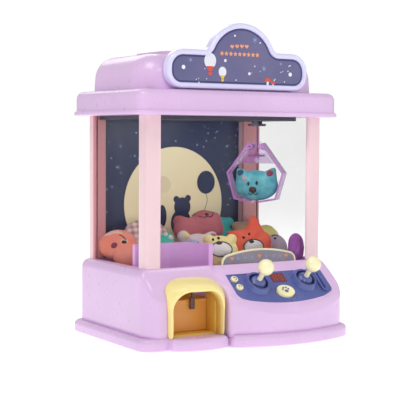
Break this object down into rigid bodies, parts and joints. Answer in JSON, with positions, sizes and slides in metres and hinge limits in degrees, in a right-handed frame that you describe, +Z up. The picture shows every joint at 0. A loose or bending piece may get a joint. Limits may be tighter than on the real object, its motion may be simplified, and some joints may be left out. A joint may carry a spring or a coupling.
{
  "type": "claw crane machine",
  "caption": "Tabletop toy claw crane cabinet with joystick console, prize outlet, clear windows and a motor gantry that lowers a jaw claw onto soft toys.",
  "frame": {"origin": "middle of the footprint's bounding box, on the surface that the rubber feet stand on", "axes": "+X to the machine's right as seen from the front, +Y to the back, +Z up"},
  "size_m": [0.3, 0.241, 0.397],
  "materials": {
    "lilac_casing": "satin moulded",
    "pale_pink_post": "satin moulded",
    "lavender_sign": "satin moulded",
    "orchid_wall": "satin moulded",
    "yellow_frame": "satin moulded",
    "ochre_bay": "satin moulded",
    "cream_knob": "polished",
    "navy_console": "satin moulded",
    "print_navy": "printed card",
    "night_panel": "printed card",
    "dark_plate": "fine texture",
    "clear_window": "clear sheet",
    "red_window": "smoked",
    "green_board": "lacquered",
    "cell_wrap": "wrapped",
    "steel": "satin",
    "foot_rubber": "matt",
    "purple_claw": "translucent",
    "white_string": "braided",
    "plush_fabric": "short pile"
  },
  "bodies": {
    "cabinet": {"base_shell": "lilac_casing", "base_bottom": "lilac_casing", "rubber_feet": "foot_rubber", "chamber_deck": "lilac_casing", "chute_barrier": "orchid_wall", "prize_bay": "ochre_bay", "prize_door_frame": "yellow_frame", "prize_sensor": "dark_plate", "console_panel": "navy_console", "joystick_collars": "navy_console", "display_window": "red_window", "control_board": "green_board", "coin_slot_bezel": "navy_console", "battery_box": "dark_plate", "battery_cells": "cell_wrap", "pillar_front_left": "pale_pink_post", "pillar_front_right": "pale_pink_post", "pillar_back_left": "pale_pink_post", "pillar_back_right": "pale_pink_post", "window_front": "clear_window", "window_left": "clear_window", "window_right": "clear_window", "back_panel": "night_panel", "roof_rim": "lilac_casing", "roof_dome": "lilac_casing", "sign_frame": "lavender_sign", "sign_panel": "print_navy", "ceiling_plate": "dark_plate", "gantry_rails": "steel", "arch_plate_frame": "yellow_frame", "arch_plate_insert": "print_navy", "casing_screws": "steel", "plush_coral": "plush_fabric", "plush_pink_bear": "plush_fabric", "plush_pastel_bear": "plush_fabric", "plush_cream_bear": "plush_fabric", "plush_orange_cat": "plush_fabric", "plush_grey_bird": "plush_fabric", "plush_small_toys": "plush_fabric"},
    "prize_flap": {"prize_flap": "ochre_bay"},
    "bridge": {"bridge_frame": "dark_plate"},
    "drive_axle": {"drive_axle": "steel"},
    "trolley": {"trolley_frame": "dark_plate", "winch_motor": "steel"},
    "winch_drum": {"winch_drum": "cream_knob"},
    "claw": {"claw_hood": "purple_claw", "claw_actuator": "purple_claw", "hoist_string": "white_string", "plush_cat": "plush_fabric"},
    "jaw_left": {"jaw_left": "purple_claw"},
    "jaw_right": {"jaw_right": "purple_claw"},
    "gimbal_left": {"gimbal_left": "navy_console"},
    "stick_left": {"stick_left": "cream_knob"},
    "gimbal_right": {"gimbal_right": "navy_console"},
    "stick_right": {"stick_right": "cream_knob"},
    "start_button": {"start_button": "cream_knob"},
    "button_upper": {"button_upper": "cream_knob"},
    "button_lower": {"button_lower": "cream_knob"},
    "roof_hatch": {"roof_hatch": "lilac_casing"},
    "battery_door": {"battery_door": "lilac_casing"}
  },
  "joints": [
    {"name": "gantry_x", "type": "slide", "parent": "cabinet", "child": "bridge", "axis": [1, 0, 0], "range_m": [-0.156, 0.004]},
    {"name": "drive_turn", "type": "hinge", "parent": "bridge", "child": "drive_axle", "pos_m": [0.043, 0.023, 0.3031], "axis": [0, 1, 0], "range_deg": [-1280, 40]},
    {"name": "trolley_y", "type": "slide", "parent": "bridge", "child": "trolley", "axis": [0, 1, 0], "range_m": [-0.016, 0.032]},
    {"name": "hoist", "type": "slide", "parent": "trolley", "child": "claw", "axis": [0, 0, -1], "range_m": [0, 0.055], "deforming": ["hoist_string", "plush_coral", "plush_pink_bear", "plush_pastel_bear", "plush_cream_bear", "plush_orange_cat", "plush_grey_bird", "plush_small_toys"]},
    {"name": "drum_turn", "type": "hinge", "parent": "trolley", "child": "winch_drum", "pos_m": [0.066, 0.0145, 0.324], "axis": [0, 1, 0], "range_deg": [-5, 330]},
    {"name": "jaw_left_swing", "type": "hinge", "parent": "claw", "child": "jaw_left", "pos_m": [0.07132, 0.02049, 0.2435], "axis": [0.788, 0.6157, 0], "range_deg": [0, 16]},
    {"name": "jaw_right_swing", "type": "hinge", "parent": "claw", "child": "jaw_right", "pos_m": [0.08068, 0.00851, 0.2435], "axis": [-0.788, -0.6157, 0], "range_deg": [0, 16]},
    {"name": "stick_left_fore_aft", "type": "hinge", "parent": "cabinet", "child": "gimbal_left", "pos_m": [0.0132, -0.07573, 0.06879], "axis": [1, 0, 0], "range_deg": [-12, 12], "stiffness_Nm_per_rad": 0.15},
    {"name": "stick_left_sideways", "type": "hinge", "parent": "gimbal_left", "child": "stick_left", "pos_m": [0.0132, -0.07573, 0.06879], "axis": [0, 0.7716, 0.6361], "range_deg": [-12, 12], "stiffness_Nm_per_rad": 0.15},
    {"name": "stick_right_fore_aft", "type": "hinge", "parent": "cabinet", "child": "gimbal_right", "pos_m": [0.0858, -0.07573, 0.06879], "axis": [1, 0, 0], "range_deg": [-12, 12], "stiffness_Nm_per_rad": 0.15},
    {"name": "stick_right_sideways", "type": "hinge", "parent": "gimbal_right", "child": "stick_right", "pos_m": [0.0858, -0.07573, 0.06879], "axis": [0, 0.7716, 0.6361], "range_deg": [-12, 12], "stiffness_Nm_per_rad": 0.15},
    {"name": "start_press", "type": "slide", "parent": "cabinet", "child": "start_button", "axis": [0, 0.6361, -0.7716], "range_m": [0, 0.002], "stiffness_N_per_m": 300, "springref_m": -0.0008},
    {"name": "upper_press", "type": "slide", "parent": "cabinet", "child": "button_upper", "axis": [0, 0.6361, -0.7716], "range_m": [0, 0.0015], "stiffness_N_per_m": 250, "springref_m": -0.0005},
    {"name": "lower_press", "type": "slide", "parent": "cabinet", "child": "button_lower", "axis": [0, 0.6361, -0.7716], "range_m": [0, 0.0015], "stiffness_N_per_m": 250, "springref_m": -0.0005},
    {"name": "hatch_open", "type": "hinge", "parent": "cabinet", "child": "roof_hatch", "pos_m": [0, 0.078, 0.3603], "axis": [-1, 0, 0], "range_deg": [0, 95]},
    {"name": "flap_swing", "type": "hinge", "parent": "cabinet", "child": "prize_flap", "pos_m": [-0.077, -0.0546, 0.056], "axis": [1, 0, 0], "range_deg": [0, 60]},
    {"name": "door_open", "type": "hinge", "parent": "cabinet", "child": "battery_door", "pos_m": [0, 0.1134, 0.064], "axis": [1, 0, 0], "range_deg": [0, 100]}
  ],
  "couplings": [
    {"joint": "drive_turn", "follows": "gantry_x", "rad_per_m": 140.85},
    {"joint": "drum_turn", "follows": "hoist", "rad_per_m": 100},
    {"joint": "jaw_right_swing", "follows": "jaw_left_swing", "ratio": 1}
  ]
}
